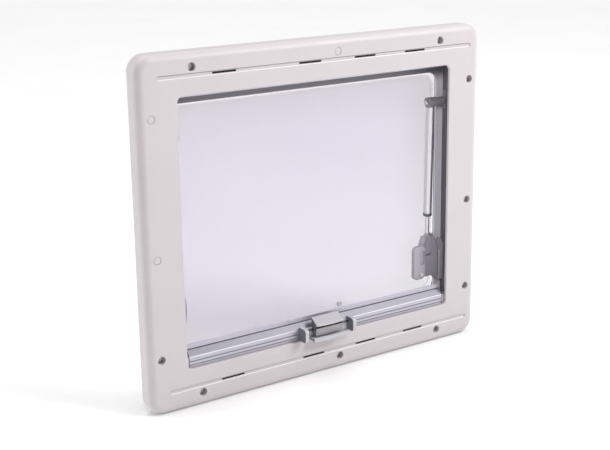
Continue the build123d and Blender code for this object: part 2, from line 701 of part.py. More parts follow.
def make_latch_screw():
    """Pivot screw of the turn latch."""
    pivot = Pos(LATCH_X, LATCH_Z)
    seat_y = LEVER_Y - LATCH_FIT / 2
    head = slab(pivot * Circle(LATCH_HEAD_R), seat_y - LATCH_HEAD_H, seat_y)
    head = chamfer(front_edges(head), LATCH_HEAD_BEVEL)
    return head + slab(pivot * Circle(LATCH_SCREW_R), seat_y, TRAY_Y - PIN_FIT)


def make_keeper():
    """Block on the web that the turned lever lies on, ramped at its upper end."""
    face_y = LEVER_BACK_Y + KEEPER_GAP
    x0 = WEB_X + KEEPER_INSET
    x1 = SLEEVE_IN_X - KEEPER_GAP
    z0 = LATCH_Z - KEEPER_BELOW
    z1 = LATCH_Z + KEEPER_ABOVE
    keeper = slab(span_rect(x0, x1, z0, z1, KEEPER_R), face_y, WEB_Y)
    keeper = chamfer(front_edges(keeper), HOUSING_BEVEL)
    ramp = outline([(face_y - 1, z1 + 1), (face_y - 1, z1 - KEEPER_RAMP), (WEB_Y - KEEPER_R / 2, z1 + 1)])
    return keeper - bar_x(ramp, x0 - 1, x1 + 1)


def make_guide():
    """Side channel with one track for each blind bar, the rear one set back."""
    plan = span_rect(GUIDE_X, GUIDE_X + GUIDE_W, FRONT_BACK_Y, GUIDE_STEP_Y, GUIDE_EDGE_R)
    rear_end = REAR_GUIDE_X + GUIDE_REAR_W
    plan = plan + span_rect(REAR_GUIDE_X, rear_end, GUIDE_STEP_Y - GUIDE_FLOOR, GUIDE_BACK_Y, GUIDE_EDGE_R)
    y0 = BAR_Y + SLIDER_INSET - TRACK_FIT
    y1 = BAR_BACK_Y - SLIDER_INSET + TRACK_FIT
    plan = plan - span_rect(GUIDE_X - GUIDE_FLOOR, GUIDE_X + GUIDE_W - GUIDE_FLOOR, y0, y1, TRACK_R)
    y0 = SCREEN_BAR_Y + SCREEN_INSET - TRACK_FIT
    y1 = SCREEN_BAR_BACK_Y - SCREEN_INSET + TRACK_FIT
    plan = plan - span_rect(REAR_GUIDE_X - GUIDE_FLOOR, rear_end - GUIDE_FLOOR, y0, y1, TRACK_R)
    return post_z(plan, -GUIDE_Z, GUIDE_Z)


def bar_section(inset=0.0):
    """Profile of the blackout bar's body: upright face, sloping shoulder and crest."""
    y0 = BAR_Y + inset
    y1 = BAR_BACK_Y - inset
    crest = BAR_CREST - 1.2 * inset
    return outline([
        (y0, BAR_BOTTOM + inset),
        (y0, BAR_SHOULDER - 0.4 * inset),
        (BAR_FIN_Y, crest),
        (y1, crest),
        (y1, BAR_BOTTOM + inset),
    ])


def make_blackout_bar():
    """Hollow aluminium bar with a fin along its crest and three grooves."""
    profile = bar_section() + span_rect(BAR_FIN_Y, BAR_BACK_Y, BAR_CREST - BAR_FIN_T, BAR_TOP, PROFILE_R)
    profile = profile - bar_section(BAR_WALL)
    for drop in BAR_GROOVES:
        profile = profile - Pos(BAR_Y, BAR_SHOULDER - drop) * Rectangle(2 * BAR_GROOVE_D, BAR_GROOVE_H)
    profile = profile - Pos(BAR_FIN_Y, BAR_CREST) * Rectangle(2 * BAR_GROOVE_D, BAR_GROOVE_H)
    return bar_x(profile, -BAR_HALF, BAR_HALF)


def make_bar_end():
    """End block of the blackout bar: spigot in the bar, head and guide tongue."""
    head_x = BAR_HALF + END_NOTCH
    end = bar_x(bar_section(BAR_WALL + END_FIT), BAR_HALF - END_SPIGOT, head_x + 1)
    head = span_rect(BAR_Y, BAR_BACK_Y, BAR_BOTTOM, BAR_SHOULDER - END_DROP, PROFILE_R)
    end = end + bar_x(head, head_x, SLIDER_X)
    y0 = BAR_Y + SLIDER_INSET
    y1 = BAR_BACK_Y - SLIDER_INSET
    z0 = BAR_BOTTOM + SLIDER_END_INSET
    z1 = BAR_SHOULDER - SLIDER_END_INSET
    return end + block(SLIDER_X - 1, SLIDER_X + SLIDER_REACH, y0, y1, z0, z1)


def screen_bar_section():
    """Profile of the flyscreen's pull bar, parked behind the frame's upper edge."""
    return span_rect(SCREEN_BAR_Y, SCREEN_BAR_BACK_Y, SCREEN_BAR_Z, SCREEN_BAR_TOP, SCREEN_BAR_R)


def make_screen_bar():
    """Pull bar of the flyscreen."""
    return bar_x(screen_bar_section(), -BAR_HALF, BAR_HALF)


def make_screen_end():
    """End block of the flyscreen bar with its guide tongue."""
    end = bar_x(screen_bar_section(), BAR_HALF, SCREEN_SLIDER_X)
    y0 = SCREEN_BAR_Y + SCREEN_INSET
    y1 = SCREEN_BAR_BACK_Y - SCREEN_INSET
    z0 = SCREEN_BAR_Z + SCREEN_INSET
    z1 = SCREEN_BAR_TOP - SCREEN_INSET
    return end + block(SCREEN_SLIDER_X - 1, SCREEN_SLIDER_X + SCREEN_REACH, y0, y1, z0, z1)


def make_roller(axis_y, axis_z):
    """Spring roller with a journal at each end."""
    at_axis = Pos(axis_y, axis_z)
    tip = REAR_GUIDE_X - ROLLER_END_GAP / 2
    barrel = bar_x(at_axis * Circle(ROLLER_R), -ROLLER_HALF, ROLLER_HALF)
    return barrel + bar_x(at_axis * Circle(JOURNAL_R), -tip, tip)


def make_roll(axis_y, axis_z, radius):
    """Cloth wound on a roller."""
    at_axis = Pos(axis_y, axis_z)
    return bar_x(at_axis * Circle(radius) - at_axis * Circle(ROLLER_R), -ROLL_HALF, ROLL_HALF)


def make_roller_bracket(axis_y, axis_z):
    """Bearing plate on the rear guide for one roller journal."""
    at_axis = Pos(axis_y, axis_z)
    plate = at_axis * RectangleRounded(2 * SCREEN_ROLL_R, 2 * SCREEN_ROLL_R, BRACKET_ROUND)
    plate = plate - at_axis * Circle(JOURNAL_R + JOURNAL_FIT)
    return bar_x(plate, REAR_GUIDE_X - BRACKET_T, REAR_GUIDE_X)


def make_blackout_cloth():
    """Short run of cloth from the roll to the blackout bar, as parked."""
    y = BAR_BACK_Y + ROLL_GAP / 2
    top = BAR_CREST - CLOTH_TUCK
    return block(-ROLL_HALF, ROLL_HALF, y - CLOTH_T / 2, y + CLOTH_T / 2, BLACKOUT_AXIS_Z, top)


def make_screen_cloth():
    """Short run of netting from the roll to the flyscreen bar, as parked."""
    y = SCREEN_BAR_BACK_Y + ROLL_GAP / 2
    bottom = SCREEN_BAR_Z + CLOTH_TUCK
    return block(-ROLL_HALF, ROLL_HALF, y - CLOTH_T / 2, y + CLOTH_T / 2, bottom, SCREEN_AXIS_Z)


def bowed_plan(half, y_front, y_back, bow):
    """Plan shape in X and Y whose front edge bulges towards the room."""
    front = ThreePointArc((-half, y_front + bow), (0, y_front), (half, y_front + bow))
    sides = Polyline((half, y_front + bow), (half, y_back), (-half, y_back), (-half, y_front + bow))
    return make_face([front, sides])


def make_catch_base():
    """Catch body: back plate on the bar, two cheeks, floor and bowed lower lip."""
    plate_y = BAR_Y - CATCH_PLATE_T
    base = block(-CATCH_HALF, CATCH_HALF, plate_y, BAR_Y, CATCH_BOTTOM, BAR_SHOULDER)
    side = span_rect(CATCH_FRONT_Y, BAR_Y, CATCH_BOTTOM, CATCH_BOTTOM + CHEEK_RISE, CHEEK_R)
    side = side + span_rect(BAR_Y - CHEEK_ROOT, BAR_Y, CATCH_BOTTOM, BAR_SHOULDER, PROFILE_R)
    inner = CATCH_HALF - CHEEK_T
    base = base + bar_x(side, inner, CATCH_HALF) + bar_x(side, -CATCH_HALF, -inner)
    front = CATCH_FRONT_Y - CATCH_LIP_T / 2
    plan = bowed_plan(CATCH_LIP_HALF, front, BAR_Y, CATCH_BOW)
    base = base + post_z(plan, CATCH_BOTTOM, CATCH_FLOOR)
    lip = plan - Pos(0, CATCH_LIP_T) * plan
    base = base + post_z(lip, CATCH_BOTTOM - CATCH_LIP_DROP, CATCH_BOTTOM + CATCH_LIP_RISE)
    bore = Pos(CATCH_PIN_Y, CATCH_PIN_Z) * Circle(CATCH_PIN_R)
    return base - bar_x(bore, -CATCH_HALF + CHEEK_T / 2, CATCH_HALF - CHEEK_T / 2)


def make_catch_pin():
    """Pin of the catch handle between the two cheeks."""
    half = CATCH_HALF - CHEEK_T / 2
    return bar_x(Pos(CATCH_PIN_Y, CATCH_PIN_Z) * Circle(CATCH_PIN_R), -half, half)


def make_catch_handle():
    """Pinch handle: bowed flap undercut above a set-back finger face, open behind."""
    back = BAR_Y - HANDLE_BACK_GAP
    top = CATCH_PIN_Z + FLAP_RISE
    front = CATCH_PIN_Y - FLAP_REACH
    edge = top - FLAP_FALL
    under = edge - FLAP_EDGE
    face_y = front + FACE_SETBACK
    groove_y = face_y + FACE_SETBACK
    low = CATCH_FLOOR + HANDLE_FLOOR_GAP
    form = outline([
        (back, top),
        (front, edge),
        (front, under),
        (groove_y, under),
        (groove_y, under - FACE_GROOVE),
        (face_y, under - FACE_GROOVE),
        (face_y + FACE_DRAFT, low),
        (CATCH_PIN_Y, low),
        (CATCH_PIN_Y + HANDLE_HEEL, CATCH_PIN_Z - HANDLE_HEEL / 2),
        (back, top - FLAP_ROOT),
    ])
    hollow = outline([
        (BAR_Y, top - FLAP_ROOT - FACE_DRAFT),
        (groove_y + HANDLE_WALL, edge),
        (groove_y + HANDLE_WALL, low - 1),
        (BAR_Y, low - 1),
    ])
    bow = post_z(bowed_plan(HANDLE_HALF, front, BAR_Y, CATCH_BOW), low - 1, top + 1)
    handle = bar_x(form, -HANDLE_HALF, HANDLE_HALF) & bow
    inner = HANDLE_HALF - HANDLE_WALL
    handle = handle - bar_x(hollow, -inner, inner)
    bore = Pos(CATCH_PIN_Y, CATCH_PIN_Z) * Circle(CATCH_PIN_R + PIN_FIT)
    return handle - bar_x(bore, -CATCH_HALF, CATCH_HALF)


def pair(name, shape):
    """A right-hand piece and its mirror image on the left."""
    return {name + "_right": shape, name + "_left": mirror(shape, about=Plane.YZ)}


def frame_nodes():
    """Wall frame with its fixings, seal, guides, brackets and keeper."""
    nodes = {
        "inner_frame": make_inner_frame(),
        "frame_screws": make_frame_screws(),
        "screw_caps": make_screw_caps(),
        "outer_frame": make_outer_frame(),
        "sash_seal": make_sash_seal(),
        "hinge_rail": make_hinge_rail(),
        "keeper": make_keeper(),
    }
    nodes.update(pair("guide", make_guide()))
    nodes.update(pair("stay_bracket", make_stay_bracket()))
    nodes.update(pair("stay_pin", make_stay_pin()))
    nodes.update(pair("blackout_bracket", make_roller_bracket(BLACKOUT_AXIS_Y, BLACKOUT_AXIS_Z)))
    nodes.update(pair("flyscreen_bracket", make_roller_bracket(SCREEN_AXIS_Y, SCREEN_AXIS_Z)))
    return nodes


def sash_nodes():
    """Double pane with its hinge profile, latch and stays."""
    nodes = {
        "sash_hinge_profile": make_sash_hinge_profile(),
        "outer_pane": make_outer_pane(),
        "inner_pane": make_inner_pane(),
        "vent_plug": make_vent_plug(),
        "foot_housing_right": make_latch_housing(),
        "foot_housing_left": mirror(make_foot_housing(), about=Plane.YZ),
        "latch_lever": make_lever(),
        "latch_screw": make_latch_screw(),
    }
    nodes.update(pair("stay_tube", make_stay_tube()))
    nodes.update(pair("stay_tube_end", make_stay_tube_end()))
    nodes.update(pair("stay_collar", make_stay_collar()))
    nodes.update(pair("stay_rod", make_stay_rod()))
    nodes.update(pair("stay_foot", make_stay_foot()))
    nodes.update(pair("foot_pin", make_foot_pin()))
    return nodes


def blind_nodes():
    """Both blinds: bars, rollers, cloth and the catch."""
    nodes = {
        "blackout_bar": make_blackout_bar(),
        "flyscreen_bar": make_screen_bar(),
        "blackout_roller": make_roller(BLACKOUT_AXIS_Y, BLACKOUT_AXIS_Z),
        "flyscreen_roller": make_roller(SCREEN_AXIS_Y, SCREEN_AXIS_Z),
        "blackout_roll": make_roll(BLACKOUT_AXIS_Y, BLACKOUT_AXIS_Z, BLACKOUT_ROLL_R),
        "flyscreen_roll": make_roll(SCREEN_AXIS_Y, SCREEN_AXIS_Z, SCREEN_ROLL_R),
        "blackout_cloth": make_blackout_cloth(),
        "flyscreen_cloth": make_screen_cloth(),
        "catch_base": make_catch_base(),
        "catch_pin": make_catch_pin(),
        "catch_handle": make_catch_handle(),
    }
    nodes.update(pair("bar_end", make_bar_end()))
    nodes.update(pair("screen_end", make_screen_end()))
    return nodes


def main():
    os.makedirs("parts", exist_ok=True)
    for nodes in (frame_nodes(), sash_nodes(), blind_nodes()):
        for name, shape in nodes.items():
            export_step(shape, "parts/" + name + ".step")


if __name__ == "__main__":
    main()
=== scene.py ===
import json
import math

import bmesh
import bpy
from mathutils import Matrix, Vector


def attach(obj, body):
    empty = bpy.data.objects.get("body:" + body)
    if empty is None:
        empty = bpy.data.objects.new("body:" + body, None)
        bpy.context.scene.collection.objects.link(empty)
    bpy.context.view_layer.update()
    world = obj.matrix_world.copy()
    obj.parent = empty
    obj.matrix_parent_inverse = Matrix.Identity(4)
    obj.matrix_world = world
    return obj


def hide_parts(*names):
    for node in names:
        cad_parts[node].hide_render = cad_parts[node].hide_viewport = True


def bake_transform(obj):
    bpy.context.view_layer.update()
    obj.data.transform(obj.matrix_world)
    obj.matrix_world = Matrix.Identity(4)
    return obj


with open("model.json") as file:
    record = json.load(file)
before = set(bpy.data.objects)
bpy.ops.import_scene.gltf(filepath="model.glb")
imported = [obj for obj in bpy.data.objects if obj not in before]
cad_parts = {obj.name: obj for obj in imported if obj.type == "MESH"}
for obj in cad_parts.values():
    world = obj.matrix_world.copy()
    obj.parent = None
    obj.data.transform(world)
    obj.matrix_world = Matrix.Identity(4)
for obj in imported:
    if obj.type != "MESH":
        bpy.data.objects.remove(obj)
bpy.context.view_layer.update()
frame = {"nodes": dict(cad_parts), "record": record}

NODES = frame["nodes"]
PARTS = frame["record"]["subparts"]
MM = 0.001
FULL_TURN = 2 * math.pi

# Camera that fits the photograph, whose frame is 610 by 450 pixels
IMAGE_W = 610
FOCAL_PX = 1150.0
SENSOR = 36.0
CAMERA_AT = (-0.89763, -1.40546, 0.47712)
CAMERA_YAW = 32.11
CAMERA_PITCH = 13.69
CAMERA_ROLL = -0.78
VIEW_DROP_PX = 64.0

# Stage
WHITE = (1, 1, 1, 1)
FLOOR_Z = -0.2575
FLOOR_SIZE = 12.0
FLOOR_SHADES = ((0.90, 0.90, 0.90), (0.93, 0.93, 0.93))
FLOOR_MOTTLE = 3.0
FLOOR_ROUGH = 0.8
FLOOR_GLOW = 0.08

# Light: a key box on the right, soft suns from behind and above, and a fill that reaches into the recess
WORLD_LIGHT = 0.32
BACKDROP = 1.0
SUN_SPREAD = math.radians(45)
RIM_FROM = (-0.80, 0.55, 0.30)
RIM_STRENGTH = 1.2
TOP_FROM = (-0.10, 0.20, 1.0)
TOP_STRENGTH = 1.6
KEY_AT = (1.5, -1.7, 1.9)
KEY_SIZE = 1.3
KEY_POWER = 62
FILL_AT = (-1.5, -2.0, 1.25)
FILL_SIZE = 0.8
FILL_POWER = 42
FILL_SLOTS = ("outer_grey", "latch_grey", "arm_grey", "stay_metal", "dark_plastic")

# Colours that more than one finish uses, or that mark a place on a moulding, most of these as painted shade
# or painted highlight
FRAME_COLOR = (0.60, 0.556, 0.57)
# Painted shade and painted highlight on the upper and lower walls of each frame groove
GROOVE_PAINTED_SHADE = (0.28, 0.25, 0.26)
GROOVE_PAINTED_HIGHLIGHT = (0.93, 0.89, 0.90)
OUTER_COLOR = (0.60, 0.575, 0.635)
# Painted shadow on the top of the web and painted shade on the sleeve walls beside it
WEB_PAINTED_SHADOW = (0.19, 0.18, 0.20)
SLEEVE_PAINTED_SHADE = (0.11, 0.10, 0.115)
BAR_COLOR = (0.52, 0.505, 0.575)
# Painted shade on the bar's slope, line and grooves, and a painted highlight on its ridge
SLOPE_PAINTED_SHADE = (0.225, 0.22, 0.255)
RIDGE_PAINTED_HIGHLIGHT = (0.74, 0.73, 0.78)
LINE_PAINTED_SHADE = (0.18, 0.17, 0.19)
BAR_GROOVE_PAINTED_SHADE = (0.29, 0.28, 0.31)
CATCH_COLOR = (0.535, 0.525, 0.55)
# Back plate of the catch painted lighter than the moulding, as painted light where it sits in shade
PLATE_PAINTED_LIGHT = (0.92, 0.91, 0.94)
# Painted shade on the handle's finger face and a black painted shadow in the undercut
FINGER_PAINTED_SHADE = (0.34, 0.33, 0.345)
UNDERCUT_PAINTED_SHADOW = (0.02, 0.02, 0.022)
SLATE = (0.165, 0.18, 0.21)

# Places with painted shade, painted highlight or a colour of their own, each a middle and a half-width
# along an axis
GROOVE_Z = 225 * MM
GROOVE_HALF = 2.5 * MM
GROOVE_EDGE = 0.55 * MM
GROOVE_RUN = {"X": (5 * MM, 267.5 * MM), "Y": (-27.4 * MM, 0.75 * MM)}
WEB_FACE = {"X": (0.0, 261 * MM), "Y": (22 * MM, 0.6 * MM), "Z": (0.0, 224 * MM)}
WEB_SHADOW_FADE = (164 * MM, 180 * MM)
SLEEVE_X = 261.5 * MM
SLEEVE_SKIN = 0.6 * MM
SLEEVE_WALL = {"Y": (11.4 * MM, 10.5 * MM), "Z": (0.0, 224 * MM)}
BAR_SLOPE = (-176.6 * MM, 3.9 * MM)
BAR_RIDGE = (-181.2 * MM, 0.7 * MM)
BAR_GROOVE_HALF = 0.75 * MM
BAR_LINE = (-172.0 * MM, BAR_GROOVE_HALF)
BAR_GROOVES = [(z * MM, BAR_GROOVE_HALF) for z in (-187.6, -192.8)]
CATCH_PLATE = (-24.2 * MM, 1.3 * MM)
HANDLE_FACE = (-184.7 * MM, 5.9 * MM)
HANDLE_UNDERCUT = (-177.0 * MM, 1.75 * MM)
SIDE_FACING = (0.7, 0.9)

# Patterns of the finishes: waves per metre, depth and strength of the relief, shades and roughness
PATTERN_SPAN = (0.3, 0.7)
FINE_DETAIL = 4.0
PLASTIC_MOTTLE = 14.0
PLASTIC_GLOSS = 55.0
PLASTIC_GRAIN = 2600.0
PLASTIC_GRAIN_DETAIL = 2.0
PLASTIC_RELIEF = (0.02 * MM, 0.5)
PLASTIC_SPREAD = 0.035
PLASTIC_ROUGH_CHANGE = (-0.05, 0.06)
FRAME_ROUGH = 0.42
FRAME_SPREAD = 0.015
OUTER_ROUGH = 0.45
CATCH_ROUGH = 0.36
METAL_GRAIN = 60.0
METAL_GRAIN_ROUGH = 0.6
METAL_RELIEF = (0.015 * MM, 0.4)
METAL_SHADES = (0.93, 1.05)
METAL_ROUGH_CHANGE = (-0.06, 0.08)
DRAWN_ALONG_X = (1, 40, 40)
DRAWN_ALONG_Z = (40, 40, 1)
EVEN_GRAIN = (20, 20, 20)
BAR_ROUGH = 0.42
BAR_METALLIC = 0.4
STAY_METALLIC = 0.8
ACRYLIC_MOTTLE = 5.0
ACRYLIC_GLOSS = 9.0
ACRYLIC_WAVES = 7.0
ACRYLIC_WAVE_DETAIL = 1.0
ACRYLIC_RELIEF = (0.2 * MM, 0.15)
ACRYLIC_DIM = 0.985
ACRYLIC_ROUGH = (0.06, 0.10)
ACRYLIC_IOR = 1.49
RUBBER_BLOOM = 90.0
RUBBER_BLOOM_LIFT = 1.8
RUBBER_GLOSS = 120.0
RUBBER_GRAIN = 1800.0
RUBBER_RELIEF = (0.03 * MM, 0.5)
RUBBER_ROUGH = (0.7, 0.9)
CLOTH_MOTTLE = 40.0
CLOTH_DIM = 0.97
CLOTH_GLOSS = 200.0
CLOTH_RELIEF = (0.15 * MM, 0.6)
CLOTH_ROUGH = (0.75, 0.9)
WAVE_UNIT = 20.0
NET_THREAD = (0.78, 0.92)

# Soft edges that mouldings and extrusions have
EDGE_SOFT = 0.35 * MM
EDGE_SOFT_METAL = 0.2 * MM
EDGE_ANGLE = math.radians(32)
EDGE_STEPS = 2
WELD_GAP = 1e-6
METAL_SLOTS = ("bar_aluminium", "stay_metal", "steel")

# Fixings of the inner frame as X, Z pairs, and the recesses that carry a cap
SCREW_ROWS = [(x * MM, z * MM) for z in (236.5, -236.5) for x in (-211, 26, 215)]
SCREW_COLUMNS = [(x * MM, z * MM) for x in (-274, 274) for z in (171, -26, -173)]
SCREWS = SCREW_ROWS + SCREW_COLUMNS
CAPPED = [SCREWS[1], SCREWS[6], SCREWS[7]]

# Pan-head screw, each turned by SCREW_TURN radians from the one before
SCREW_SIDES = 32
SCREW_TURN = 0.9
SCREW_SEAT_Y = -19 * MM
SCREW_TIP_Y = 29 * MM
SCREW_HEAD_R = 4.4 * MM
SCREW_HEAD_H = 3.0 * MM
SCREW_TOP_Y = SCREW_SEAT_Y - SCREW_HEAD_H
HEAD_RINGS = 16
HEAD_DOME_R = 0.96 * SCREW_HEAD_R
HEAD_DOME_H = 0.25 * SCREW_HEAD_H
HEAD_RIM = ((SCREW_HEAD_R, SCREW_TOP_Y + 0.5 * SCREW_HEAD_H), (0.97 * SCREW_HEAD_R, SCREW_SEAT_Y))
SCREW_CORE_R = 1.3 * MM
SCREW_THREAD_R = 1.72 * MM
SCREW_PITCH = 1.6 * MM
RINGS_PER_PITCH = 4
CROSS_REACH = 2.3 * MM
CROSS_HALF = 0.55 * MM
CROSS_DEPTH = 1.3 * MM
CROSS_WALL = 0.2 * MM
CROSS_RISE = 0.5

# Cover cap, whose outline of radius and depth runs from the shank over the rim to a low crown
CAP_SIDES = 48
CAP_R = 5.9 * MM
CAP_SHANK_R = 2.6 * MM
CAP_FACE_Y = -27.75 * MM
CAP_BACK_Y = -26.2 * MM
CAP_OUTLINE = (
    (CAP_SHANK_R, SCREW_TOP_Y),
    (CAP_SHANK_R, CAP_BACK_Y),
    (CAP_R, CAP_BACK_Y),
    (CAP_R, CAP_FACE_Y + 0.9 * MM),
    (CAP_R - 0.5 * MM, CAP_FACE_Y + 0.35 * MM),
    (CAP_R - 1.0 * MM, CAP_FACE_Y + 0.15 * MM),
    (CAP_R - 1.6 * MM, CAP_FACE_Y),
    (2.4 * MM, CAP_FACE_Y - 0.15 * MM),
    (0.6 * MM, CAP_FACE_Y - 0.2 * MM),
)

# Vent slots of the inner frame, each backed by a dark woven sheet as painted shade inside the slot
VENT_XS = [x * MM for x in (-161, -21, 75, 167)]
VENT_Z = GROOVE_Z
VENT_SHADE_HALF_X = 21 * MM
VENT_SHADE_HALF_Z = 2.8 * MM
VENT_SHADE_YS = (-25.4 * MM, -24.9 * MM)
VENT_SHADE_SIDES = 24

# Cloths of the two blinds: plane of the taut strip, roller axis as Y, Z, height of the edge on the bar,
# the way the strip leaves its roller, and the winding's pitch
BLACKOUT = {
    "plane": -11.5 * MM,
    "axis": (-1 * MM, -209 * MM),
    "attach": -175 * MM,
    "up": 1,
    "pitch": 0.54 * MM,
}
FLYSCREEN = {
    "plane": -1.5 * MM,
    "axis": (8 * MM, 209 * MM),
    "attach": 195 * MM,
    "up": -1,
    "pitch": 0.39 * MM,
}
ROLL_CORE_R = 6.1 * MM
ROLL_STEPS = 40
CLOTH_HALF = 233 * MM
CLOTH_T = 0.25 * MM
CLOTH_ROWS = 24
CLOTH_COLUMNS = 64
RIPPLE = 0.2 * MM
RIPPLES = 55.0


def new_finish(name):
    """A new material with its node tree and its shader."""
    mat = bpy.data.materials.new(name)
    mat.use_nodes = True
    return mat, mat.node_tree, mat.node_tree.nodes["Principled BSDF"]


def coords(tree, stretch=(1, 1, 1)):
    """Object coordinates in metres, squeezed along some axes for drawn grain."""
    source = tree.nodes.new("ShaderNodeTexCoord")
    mapping = tree.nodes.new("ShaderNodeMapping")
    mapping.inputs["Scale"].default_value = stretch
    tree.links.new(source.outputs["Object"], mapping.inputs["Vector"])
    return mapping.outputs["Vector"]


def axes(tree, vector):
    """The three parts of a vector, by the names X, Y and Z."""
    split = tree.nodes.new("ShaderNodeSeparateXYZ")
    tree.links.new(vector, split.inputs["Vector"])
    return split.outputs


def noise(tree, vector, waves, detail=3.0, rough=0.5):
    """Noise with so many waves per metre."""
    node = tree.nodes.new("ShaderNodeTexNoise")
    node.inputs["Scale"].default_value = waves
    node.inputs["Detail"].default_value = detail
    node.inputs["Roughness"].default_value = rough
    tree.links.new(vector, node.inputs["Vector"])
    return node.outputs["Fac"]


def calculate(tree, operation, *values):
    """One step of arithmetic on patterns and numbers."""
    node = tree.nodes.new("ShaderNodeMath")
    node.operation = operation
    for socket, value in zip(node.inputs, values):
        if isinstance(value, bpy.types.NodeSocket):
            tree.links.new(value, socket)
        else:
            socket.default_value = value
    return node.outputs["Value"]


def remap(tree, value, low, high, span=PATTERN_SPAN):
    """Map a span of a pattern's values onto the range from low to high."""
    node = tree.nodes.new("ShaderNodeMapRange")
    node.inputs["From Min"].default_value = span[0]
    node.inputs["From Max"].default_value = span[1]
    node.inputs["To Min"].default_value = low
    node.inputs["To Max"].default_value = high
    tree.links.new(value, node.inputs["Value"])
    return node.outputs["Result"]


def tint(tree, value, dark, light):
    """Blend between two colours by a pattern."""
    node = tree.nodes.new("ShaderNodeValToRGB")
    for stop, position, color in zip(node.color_ramp.elements, PATTERN_SPAN, (dark, light)):
        stop.position = position
        stop.color = (*color, 1)
    tree.links.new(value, node.inputs["Fac"])
    return node.outputs["Color"]


def shade(color, factor):
    """A colour made darker or lighter."""
    return tuple(min(1.0, c * factor) for c in color)


def feed(tree, shader, color, rough):
    """Lead patterns into a shader's colour and roughness."""
    tree.links.new(color, shader.inputs["Base Color"])
    tree.links.new(rough, shader.inputs["Roughness"])


def emboss(tree, shader, height, relief):
    """Fine relief on a surface, as a depth in metres and a strength."""
    node = tree.nodes.new("ShaderNodeBump")
    node.inputs["Distance"].default_value, node.inputs["Strength"].default_value = relief
    tree.links.new(height, node.inputs["Height"])
    tree.links.new(node.outputs["Normal"], shader.inputs["Normal"])


def paint(mat, mask, color):
    """Lay a colour over a finish where a mask is 1."""
    tree = mat.node_tree
    base = tree.nodes["Principled BSDF"].inputs["Base Color"]
    mix = tree.nodes.new("ShaderNodeMix")
    mix.data_type = "RGBA"
    tree.links.new(mask, mix.inputs["Factor"])
    tree.links.new(base.links[0].from_socket, mix.inputs["A"])
    mix.inputs["B"].default_value = (*color, 1)
    tree.links.new(mix.outputs["Result"], base)


def paint_place(mat, place, color, fade=None):
    """Tint what lies inside a place given by axis; a fade brings the tint in over a span of heights."""
    tree = mat.node_tree
    parts = axes(tree, coords(tree))
    masks = [calculate(tree, "COMPARE", parts[axis], *band) for axis, band in place.items()]
    if fade:
        masks.append(remap(tree, parts["Z"], 0.0, 1.0, fade))
    mask = masks[0]
    for other in masks[1:]:
        mask = calculate(tree, "MULTIPLY", mask, other)
    paint(mat, mask, color)


def paint_sides(mat, color):
    """Tint the faces of a moulding that point to the left or right."""
    tree = mat.node_tree
    source = tree.nodes.new("ShaderNodeTexCoord")
    sideways = calculate(tree, "ABSOLUTE", axes(tree, source.outputs["Normal"])["X"])
    paint(mat, remap(tree, sideways, 0.0, 1.0, SIDE_FACING), color)


def plastic(name, color, rough, spread=PLASTIC_SPREAD):
    """Injection-moulded plastic: faint mottling, fine spark-eroded grain and satin gloss."""
    mat, tree, shader = new_finish(name)
    vector = coords(tree)
    mottle = noise(tree, vector, PLASTIC_MOTTLE, FINE_DETAIL)
    gloss = noise(tree, vector, PLASTIC_GLOSS)
    shades = tint(tree, mottle, shade(color, 1 - spread), shade(color, 1 + spread))
    feed(tree, shader, shades, remap(tree, gloss, *(rough + change for change in PLASTIC_ROUGH_CHANGE)))
    emboss(tree, shader, noise(tree, vector, PLASTIC_GRAIN, PLASTIC_GRAIN_DETAIL), PLASTIC_RELIEF)
    return mat


def metal(name, color, rough, stretch, metallic=1.0):
    """Drawn, extruded or plated metal with grain along one axis or none."""
    mat, tree, shader = new_finish(name)
    grain = noise(tree, coords(tree, stretch), METAL_GRAIN, FINE_DETAIL, METAL_GRAIN_ROUGH)
    shades = tint(tree, grain, *(shade(color, factor) for factor in METAL_SHADES))
    shader.inputs["Metallic"].default_value = metallic
    feed(tree, shader, shades, remap(tree, grain, *(rough + change for change in METAL_ROUGH_CHANGE)))
    emboss(tree, shader, grain, METAL_RELIEF)
    return mat


def acrylic(name, color, alpha):
    """Clear acrylic sheet: see-through with a glossy skin and faint waviness."""
    mat, tree, shader = new_finish(name)
    vector = coords(tree)
    shades = tint(tree, noise(tree, vector, ACRYLIC_MOTTLE), shade(color, ACRYLIC_DIM), color)
    feed(tree, shader, shades, remap(tree, noise(tree, vector, ACRYLIC_GLOSS), *ACRYLIC_ROUGH))
    shader.inputs["Alpha"].default_value = alpha
    shader.inputs["IOR"].default_value = ACRYLIC_IOR
    emboss(tree, shader, noise(tree, vector, ACRYLIC_WAVES, ACRYLIC_WAVE_DETAIL), ACRYLIC_RELIEF)
    return mat


def rubber(name, color):
    """Matt rubber with a dusty bloom."""
    mat, tree, shader = new_finish(name)
    vector = coords(tree)
    bloom = noise(tree, vector, RUBBER_BLOOM, FINE_DETAIL)
    shades = tint(tree, bloom, color, shade(color, RUBBER_BLOOM_LIFT))
    feed(tree, shader, shades, remap(tree, noise(tree, vector, RUBBER_GLOSS), *RUBBER_ROUGH))
    emboss(tree, shader, noise(tree, vector, RUBBER_GRAIN), RUBBER_RELIEF)
    return mat


def threads(tree, vector, pitch, axis):
    """Bands across one axis, a thread pitch apart; at scale 1 a wave runs WAVE_UNIT radians a metre."""
    wave = tree.nodes.new("ShaderNodeTexWave")
    wave.bands_direction = axis
    wave.inputs["Scale"].default_value = FULL_TURN / (WAVE_UNIT * pitch)
    tree.links.new(vector, wave.inputs["Vector"])
    return wave.outputs["Fac"]


